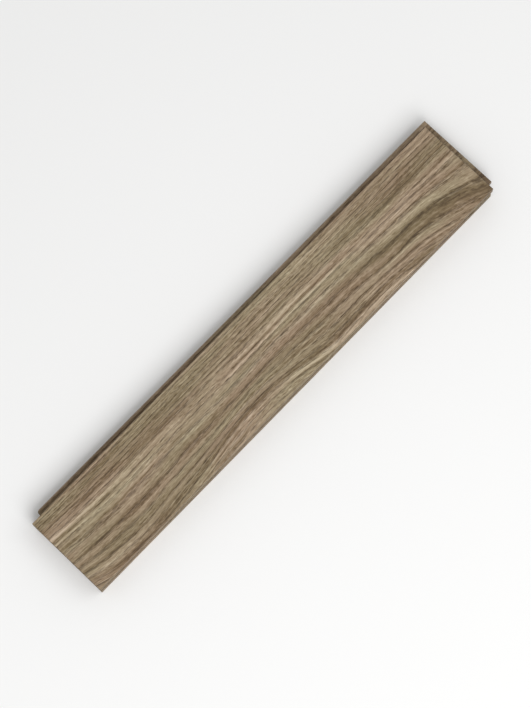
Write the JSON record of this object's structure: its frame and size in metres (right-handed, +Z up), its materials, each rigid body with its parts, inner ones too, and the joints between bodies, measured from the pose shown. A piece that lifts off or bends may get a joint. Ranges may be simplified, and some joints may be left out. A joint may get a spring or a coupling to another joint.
{
  "type": "parquet block",
  "caption": "Rectangular solid oak floor block with a brushed, oiled face, a tongue along one side and one end, and matching grooves opposite.",
  "frame": {"origin": "centre of the face's rectangle, on the underside", "axes": "+X along the grain towards the end with the tongue, +Y across it towards the side with the tongue, +Z up out of the face"},
  "size_m": [0.4255, 0.0755, 0.022],
  "materials": {
    "oak": "brushed and matt oiled, greyish brown"
  },
  "bodies": {
    "root": {"parquet_block": "oak"}
  },
  "joints": []
}
